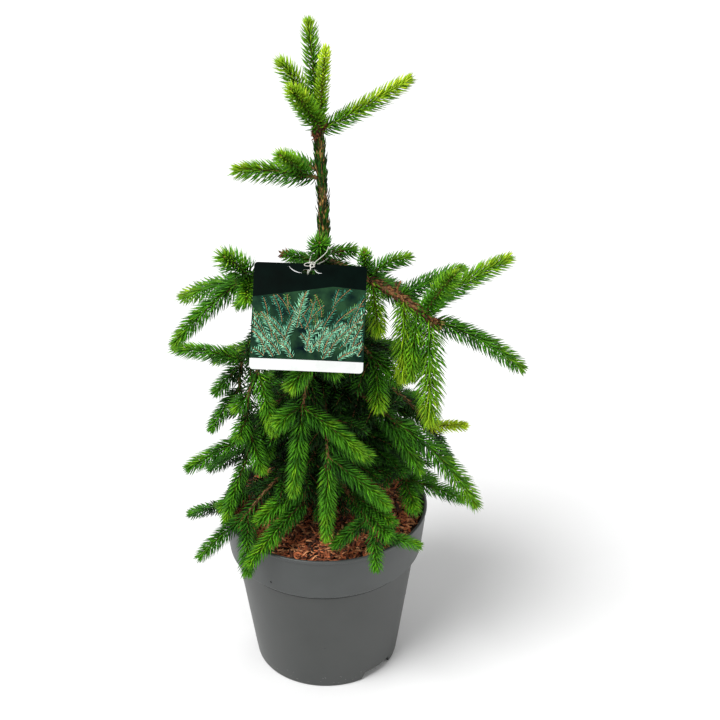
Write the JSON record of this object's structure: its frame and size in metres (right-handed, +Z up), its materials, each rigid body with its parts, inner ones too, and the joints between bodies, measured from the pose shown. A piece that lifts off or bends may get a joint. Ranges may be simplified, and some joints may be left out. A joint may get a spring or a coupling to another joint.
{
  "type": "weeping norway spruce in a pot",
  "caption": "Young weeping conifer: straight leader, drooping needled boughs, round tapered nursery pot with bark mulch, blank hanging plant label.",
  "frame": {"origin": "centre of the pot's flat underside, on the surface it stands on", "axes": "+Z up along the pot's axis and the trunk, -Y towards the shown front with the label, +X to the right seen from the front"},
  "size_m": [0.3947, 0.3252, 0.7876],
  "materials": {
    "pot": "satin moulded grey plastic",
    "mulch": "loose reddish-brown bark fibre",
    "bark": "rough orange-brown bark",
    "needles": "fresh green needles",
    "card": "printed plastic card",
    "tie": "off-white string"
  },
  "bodies": {
    "root": {"bough_far_base": "bark", "bough_far_high_left": "bark", "bough_far_high_right": "bark", "bough_far_low": "bark", "bough_far_low_right": "bark", "bough_far_mid": "bark", "bough_far_mid_left": "bark", "bough_far_mid_right": "bark", "bough_front_high": "bark", "bough_front_left_base": "bark", "bough_front_left_low": "bark", "bough_front_left_mid": "bark", "bough_front_low": "bark", "bough_front_mid": "bark", "bough_front_top": "bark", "bough_left_base": "bark", "bough_left_high": "bark", "bough_left_low": "bark", "bough_left_mid": "bark", "bough_right_back": "bark", "bough_right_front": "bark", "bough_right_high": "bark", "bough_right_low": "bark", "bough_right_mid": "bark", "foliage_collar_front": "needles", "foliage_collar_left": "needles", "foliage_collar_right": "needles", "foliage_far_base": "needles", "foliage_far_high_left": "needles", "foliage_far_high_right": "needles", "foliage_far_low": "needles", "foliage_far_low_right": "needles", "foliage_far_mid": "needles", "foliage_far_mid_left": "needles", "foliage_far_mid_right": "needles", "foliage_front_high": "needles", "foliage_front_left_base": "needles", "foliage_front_left_low": "needles", "foliage_front_left_mid": "needles", "foliage_front_low": "needles", "foliage_front_mid": "needles", "foliage_front_top": "needles", "foliage_leader": "needles", "foliage_left_base": "needles", "foliage_left_high": "needles", "foliage_left_low": "needles", "foliage_left_mid": "needles", "foliage_right_back": "needles", "foliage_right_front": "needles", "foliage_right_high": "needles", "foliage_right_low": "needles", "foliage_right_mid": "needles", "foliage_upper_back": "needles", "foliage_upper_left": "needles", "label_card": "card", "label_tie": "tie", "mulch": "mulch", "pot": "pot", "trunk": "bark"}
  },
  "joints": []
}
